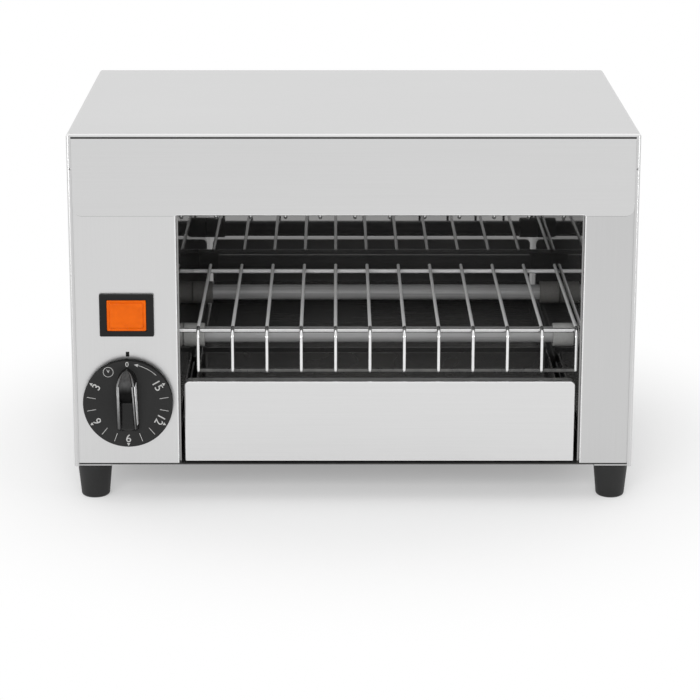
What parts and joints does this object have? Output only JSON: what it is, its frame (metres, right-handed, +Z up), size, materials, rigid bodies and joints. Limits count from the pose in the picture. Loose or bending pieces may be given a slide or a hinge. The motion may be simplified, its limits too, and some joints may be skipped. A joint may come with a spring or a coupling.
{
  "type": "salamander grill",
  "caption": "Counter-top grill in a steel casing: quartz heating tubes over and under wire guards, timer knob, pilot lamp and a pull-out crumb tray.",
  "frame": {"origin": "on the floor under the middle of the part's box", "axes": "+X to the right seen from the front, +Y to the back, +Z up"},
  "size_m": [0.375, 0.2802, 0.253],
  "materials": {
    "casing_steel": "satin stainless sheet with a fine brushed grain",
    "polished_steel": "polished stainless lining, darkened by heat",
    "guard_chrome": "bright chromed wire",
    "quartz": "milky quartz tube",
    "ceramic": "matt steatite",
    "coil_alloy": "dull oxidised heating alloy",
    "plated_steel": "zinc-plated sheet and screws",
    "brass": "plain brass",
    "black_plastic": "black moulded thermoset",
    "white_plastic": "white moulded plastic",
    "amber_lens": "clear amber moulded lens",
    "foot_rubber": "black rubber"
  },
  "bodies": {
    "grill": {"outer_casing": "casing_steel", "control_panel": "casing_steel", "right_pillar": "casing_steel", "header_panel": "casing_steel", "back_panel": "casing_steel", "left_liner": "polished_steel", "right_liner": "polished_steel", "rear_reflector": "polished_steel", "roof_reflector": "polished_steel", "lower_guard": "guard_chrome", "upper_guard": "guard_chrome", "lower_front_tube": "quartz", "lower_rear_tube": "quartz", "upper_front_tube": "quartz", "upper_rear_tube": "quartz", "lower_front_caps": "ceramic", "lower_rear_caps": "ceramic", "upper_front_caps": "ceramic", "upper_rear_caps": "ceramic", "terminal_block": "ceramic", "lower_front_coil": "coil_alloy", "lower_rear_coil": "coil_alloy", "upper_front_coil": "coil_alloy", "upper_rear_coil": "coil_alloy", "base_pan": "plated_steel", "left_runner": "plated_steel", "right_runner": "plated_steel", "element_studs": "plated_steel", "link_straps": "plated_steel", "element_lugs": "plated_steel", "timer_plate": "plated_steel", "timer_screws": "plated_steel", "foot_screws": "plated_steel", "foot_nuts": "plated_steel", "back_screws": "plated_steel", "stud_nuts": "brass", "timer_tabs": "brass", "lamp_tabs": "brass", "earth_stud": "brass", "lamp_bezel": "black_plastic", "cable_gland": "black_plastic", "gland_nut": "black_plastic", "timer_case": "white_plastic", "lamp_body": "white_plastic", "lamp_lens": "amber_lens", "front_left_foot": "foot_rubber", "front_right_foot": "foot_rubber", "rear_left_foot": "foot_rubber", "rear_right_foot": "foot_rubber"},
    "crumb_tray": {"tray_front": "casing_steel", "tray_pan": "plated_steel"},
    "timer_dial": {"timer_knob": "black_plastic", "timer_shaft": "plated_steel"}
  },
  "joints": [
    {"name": "tray_slide", "type": "slide", "parent": "grill", "child": "crumb_tray", "axis": [0, -1, 0], "range_m": [0, 0.19]},
    {"name": "timer_turn", "type": "hinge", "parent": "grill", "child": "timer_dial", "pos_m": [-0.1502, -0.1179, 0.0705], "axis": [0, 1, 0], "range_deg": [-35, 297]}
  ]
}
